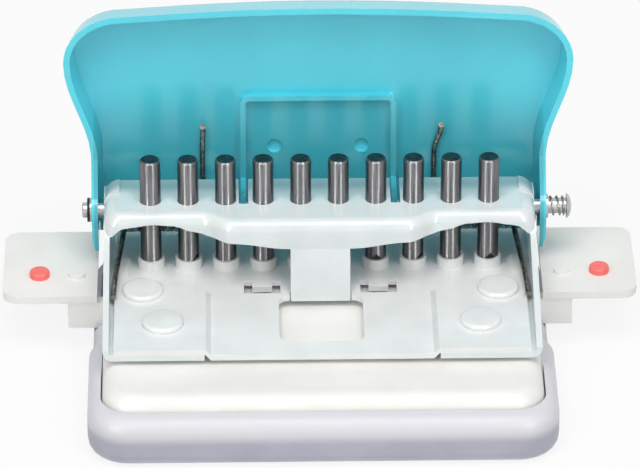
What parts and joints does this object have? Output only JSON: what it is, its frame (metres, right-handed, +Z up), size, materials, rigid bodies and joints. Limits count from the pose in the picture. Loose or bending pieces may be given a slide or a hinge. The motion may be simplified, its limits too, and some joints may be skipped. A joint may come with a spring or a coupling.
{
  "type": "loose-leaf hole punch",
  "caption": "Desk hole punch for loose-leaf and coil-bound sheets: a raised lever drives a row of pins through a folded steel frame, with side rests and a clip-on chip tray.",
  "frame": {"origin": "on the flat underside of the chip tray, straight below the middle of the pin row", "axes": "+X along the pin row to the right, +Y to the back where the lever is hinged, +Z up"},
  "size_m": [0.161, 0.0926, 0.0849],
  "materials": {
    "ivory_plastic": "moulded, satin",
    "white_paint": "stove-enamelled sheet",
    "teal_plastic": "moulded, glossy",
    "pin_steel": "ground lengthwise",
    "ground_steel": "plain ground steel",
    "spring_steel": "bright drawn wire",
    "black_steel": "blackened steel",
    "red_plastic": "moulded, satin",
    "frosted_plastic": "frosted, translucent"
  },
  "bodies": {
    "machine": {"base": "ivory_plastic", "die_plate": "ground_steel", "paper_stop": "ivory_plastic", "guide_plate": "white_paint", "punch_frame": "white_paint", "frame_rivets": "white_paint", "base_screws": "ground_steel", "return_spring_left": "spring_steel", "return_spring_right": "spring_steel"},
    "lever": {"lever_shell": "teal_plastic", "washer_left": "ground_steel", "washer_right": "ground_steel", "shaft_spring": "spring_steel"},
    "shaft": {"hinge_shaft": "ground_steel", "shaft_clip": "black_steel"},
    "pins": {"punch_pin_1": "pin_steel", "punch_pin_2": "pin_steel", "punch_pin_3": "pin_steel", "punch_pin_4": "pin_steel", "punch_pin_5": "pin_steel", "punch_pin_6": "pin_steel", "punch_pin_7": "pin_steel", "punch_pin_8": "pin_steel", "punch_pin_9": "pin_steel", "punch_pin_10": "pin_steel", "pin_lift_bar": "ground_steel"},
    "rest_left": {"wing_left": "ivory_plastic", "stud_left": "red_plastic"},
    "rest_right": {"wing_right": "ivory_plastic", "stud_right": "red_plastic"},
    "tray": {"chip_tray": "frosted_plastic"}
  },
  "joints": [
    {"name": "lever_press", "type": "hinge", "parent": "machine", "child": "lever", "pos_m": [0, 0.009, 0.0309], "axis": [1, 0, 0], "range_deg": [0, 95], "stiffness_Nm_per_rad": 0.06, "springref_deg": -45.84, "deforming": ["return_spring_left", "return_spring_right"]},
    {"name": "pins_drop", "type": "slide", "parent": "machine", "child": "pins", "axis": [0, 0, -1], "range_m": [0, 0.0094]},
    {"name": "shaft_push", "type": "slide", "parent": "machine", "child": "shaft", "axis": [-1, 0, 0], "range_m": [0, 0.001], "stiffness_N_per_m": 400, "springref_m": -0.001, "deforming": ["shaft_spring"]},
    {"name": "rest_left_slide", "type": "slide", "parent": "machine", "child": "rest_left", "axis": [1, 0, 0], "range_m": [0, 0.0084]},
    {"name": "rest_right_slide", "type": "slide", "parent": "machine", "child": "rest_right", "axis": [-1, 0, 0], "range_m": [0, 0.0084]},
    {"name": "tray_release", "type": "slide", "parent": "machine", "child": "tray", "axis": [0, 0, 1], "range_m": [-0.015, 0]}
  ],
  "couplings": [
    {"joint": "pins_drop", "follows": "lever_press", "m_per_rad": 0.005668}
  ]
}
